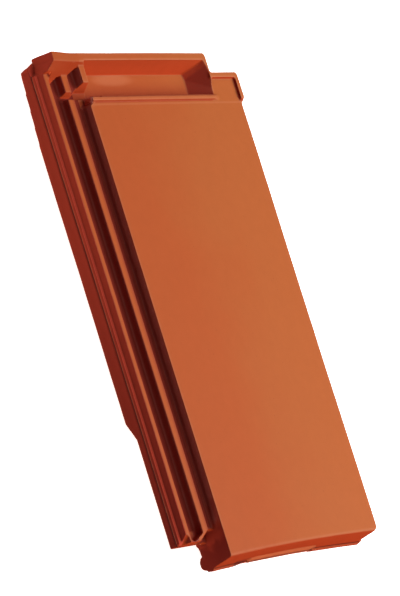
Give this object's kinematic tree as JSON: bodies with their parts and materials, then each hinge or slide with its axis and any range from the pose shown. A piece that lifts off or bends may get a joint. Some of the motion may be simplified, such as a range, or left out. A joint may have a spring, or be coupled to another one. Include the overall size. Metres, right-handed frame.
{
  "type": "interlocking clay roof tile",
  "caption": "Flat interlocking roof tile of fired clay, with a ribbed water lock along the left side, a drained head trough behind the face and hanging nibs underneath.",
  "frame": {"origin": "centre of the tile's box, in the plane of its nib bottoms, on which it is stored lying flat", "axes": "+X across the roof towards the covering right side, +Y up the slope from the foot edge to the head, +Z out of the weather face"},
  "size_m": [0.2748, 0.4398, 0.045],
  "materials": {
    "fired_clay": "satin clay slip over fired clay"
  },
  "bodies": {
    "root": {"roof_tile": "fired_clay"}
  },
  "joints": []
}
